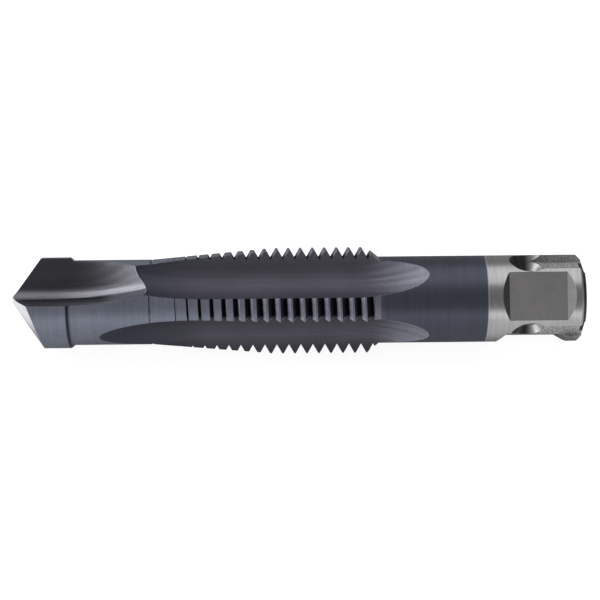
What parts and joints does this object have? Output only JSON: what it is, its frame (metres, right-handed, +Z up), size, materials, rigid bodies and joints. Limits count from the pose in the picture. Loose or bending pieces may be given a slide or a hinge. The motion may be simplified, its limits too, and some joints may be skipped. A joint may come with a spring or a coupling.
{
  "type": "combination drill and tap",
  "caption": "Coated drill-point machine tap with spiral V thread on a long lead taper, straight flutes and a bright ground quick-change shank.",
  "frame": {"origin": "on the tool axis at the front edge of the bright ground shank, where the dark coating ends", "axes": "+X along the tool axis from the drill point towards the shank end; +Z up as the tool lies on a flat surface, resting on two thread lands and its shank; -Y towards the viewer"},
  "size_m": [0.1181, 0.0188, 0.0188],
  "materials": {
    "coated_steel": "ground high-speed steel with a dark slate-grey coating on the cutting end, bright ground steel on the shank end"
  },
  "bodies": {
    "root": {"drill_tap": "coated_steel"}
  },
  "joints": []
}
